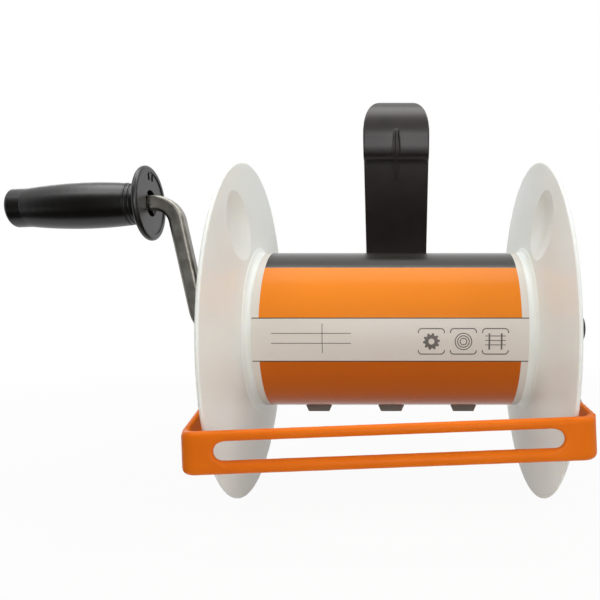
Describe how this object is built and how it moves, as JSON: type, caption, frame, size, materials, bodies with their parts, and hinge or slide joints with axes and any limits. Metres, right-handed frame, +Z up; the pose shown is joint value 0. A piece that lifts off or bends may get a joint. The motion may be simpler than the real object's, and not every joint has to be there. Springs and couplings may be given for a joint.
{
  "type": "electric fence reel",
  "caption": "Geared reel for electric fence wire: white flanged spool in a side frame, bent crank with round-guard grip, slotted orange wire guide in front and a strap hook behind.",
  "frame": {"origin": "centre of the hook's round, on the axis of the rail that the reel hangs on", "axes": "+X along the axle away from the crank, +Y from the wire guide to the back, +Z up"},
  "size_m": [0.4736, 0.2979, 0.3555],
  "materials": {
    "white_plastic": "moulded, translucent warm white",
    "orange_plastic": "moulded, satin orange",
    "black_plastic": "moulded, satin black",
    "grip_plastic": "moulded, semi-gloss black",
    "black_coated_steel": "powder coat, semi-gloss black",
    "bar_steel": "drawn bar, dull zinc",
    "zinc_steel": "bright zinc",
    "gear_nylon": "moulded nylon",
    "cast_aluminium": "die cast",
    "bronze": "sintered bronze",
    "printed_card": "printed, coated card"
  },
  "bodies": {
    "frame": {"left_side_frame": "black_plastic", "right_side_frame": "black_plastic", "rear_crossbar": "black_plastic", "crossbar_bolts": "zinc_steel", "carry_hook": "black_coated_steel", "hook_bolts": "zinc_steel", "hook_nuts": "zinc_steel", "gear_case": "black_plastic", "case_screws": "zinc_steel", "ring_gear": "gear_nylon", "crank_bush": "bronze", "axle": "bar_steel", "axle_washer": "zinc_steel", "axle_nut": "black_plastic", "wire_guide": "orange_plastic", "guide_screws": "zinc_steel"},
    "spool": {"left_spool_half": "white_plastic", "right_spool_half": "white_plastic", "spool_screws": "zinc_steel", "left_spool_bush": "bronze", "right_spool_bush": "bronze", "sun_gear": "gear_nylon", "sun_screws": "zinc_steel", "card_sleeve": "printed_card"},
    "crank": {"planet_carrier": "cast_aluminium", "planet_pins": "zinc_steel", "planet_clips": "zinc_steel", "crank_bar": "bar_steel", "crank_pin": "zinc_steel", "grip_clip": "zinc_steel"},
    "grip": {"grip": "grip_plastic", "grip_end_cap": "grip_plastic"},
    "planet_1": {"planet_gear_1": "gear_nylon"},
    "planet_2": {"planet_gear_2": "gear_nylon"},
    "planet_3": {"planet_gear_3": "gear_nylon"}
  },
  "joints": [
    {"name": "spool_spin", "type": "hinge", "parent": "frame", "child": "spool", "pos_m": [-0.004, -0.1, -0.1875], "axis": [-1, 0, 0], "continuous": true},
    {"name": "crank_spin", "type": "hinge", "parent": "frame", "child": "crank", "pos_m": [-0.004, -0.1, -0.1875], "axis": [-1, 0, 0], "continuous": true},
    {"name": "planet_1_spin", "type": "hinge", "parent": "crank", "child": "planet_1", "pos_m": [-0.004, -0.1, -0.15375], "axis": [-1, 0, 0], "continuous": true},
    {"name": "planet_2_spin", "type": "hinge", "parent": "crank", "child": "planet_2", "pos_m": [-0.004, -0.07077, -0.20438], "axis": [-1, 0, 0], "continuous": true},
    {"name": "planet_3_spin", "type": "hinge", "parent": "crank", "child": "planet_3", "pos_m": [-0.004, -0.12923, -0.20438], "axis": [-1, 0, 0], "continuous": true},
    {"name": "grip_spin", "type": "hinge", "parent": "crank", "child": "grip", "pos_m": [-0.18526, -0.1, -0.0825], "axis": [-0.9994, 0, -0.0349], "continuous": true}
  ],
  "couplings": [
    {"joint": "crank_spin", "follows": "spool_spin", "ratio": 0.33333},
    {"joint": "planet_1_spin", "follows": "spool_spin", "ratio": -1.3333},
    {"joint": "planet_2_spin", "follows": "spool_spin", "ratio": -1.3333},
    {"joint": "planet_3_spin", "follows": "spool_spin", "ratio": -1.3333}
  ]
}
